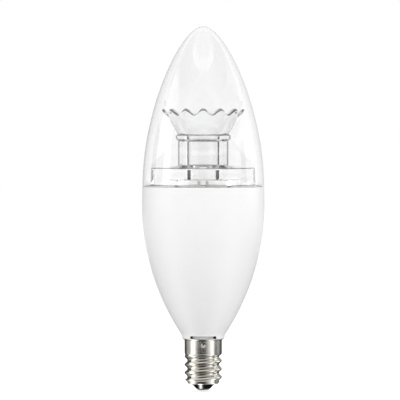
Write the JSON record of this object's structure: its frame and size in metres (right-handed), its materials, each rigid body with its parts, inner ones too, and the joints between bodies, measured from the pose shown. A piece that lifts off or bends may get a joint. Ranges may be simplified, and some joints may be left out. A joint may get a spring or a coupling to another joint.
{
  "type": "candle bulb",
  "caption": "Candle-shaped LED bulb with a clear pointed dome, a clear light guide with a scalloped crown, a white tapered housing and a candelabra screw cap.",
  "frame": {"origin": "the tip of the centre contact, on the bulb's axis", "axes": "+Z along the axis from the contact to the tip of the dome; -Y is the side the picture shows; +X is its right"},
  "size_m": [0.0381, 0.038, 0.1133],
  "materials": {
    "clear_cover": "clear polycarbonate, polished",
    "clear_optic": "clear acrylic, polished",
    "housing_white": "white moulded resin, satin",
    "cap_nickel": "nickel-plated brass, bright",
    "cap_black_glass": "black glass, glossy",
    "contact_metal": "tinned brass, worn bright",
    "board_white": "aluminium board with white solder mask",
    "led_package": "white package with a pale yellow window",
    "pad_silicone": "soft silicone",
    "seal_silicone": "white silicone",
    "sink_aluminium": "spun, plain",
    "sleeve_plastic": "natural resin",
    "circuit_laminate": "glass laminate with green solder mask",
    "ferrite": "dark grey ferrite",
    "bobbin_plastic": "black resin",
    "winding_tape": "yellow tape over enamelled copper",
    "can_sleeve": "dark shrink sleeve",
    "film_case": "dark red dipped case",
    "chip_black": "black moulding compound",
    "resistor_coat": "flameproof coat",
    "wire_white": "insulated wire",
    "wire_bare": "tinned copper wire"
  },
  "bodies": {
    "root": {"dome_cover": "clear_cover", "light_guide": "clear_optic", "led_emitters": "led_package", "led_board": "board_white", "thermal_pad": "pad_silicone", "seal_bead": "seal_silicone", "heat_sink_cup": "sink_aluminium", "housing_shell": "housing_white", "driver_sleeve": "sleeve_plastic", "driver_board": "circuit_laminate", "transformer_core": "ferrite", "transformer_bobbin": "bobbin_plastic", "transformer_winding": "winding_tape", "bulk_capacitor": "can_sleeve", "output_capacitor": "can_sleeve", "film_capacitor": "film_case", "line_choke": "ferrite", "bridge_rectifier": "chip_black", "driver_chip": "chip_black", "fusible_resistor": "resistor_coat", "led_leads": "wire_white", "shell_lead": "wire_white", "tip_lead": "wire_bare", "screw_shell": "cap_nickel", "cap_insulator": "cap_black_glass", "centre_contact": "contact_metal"}
  },
  "joints": []
}
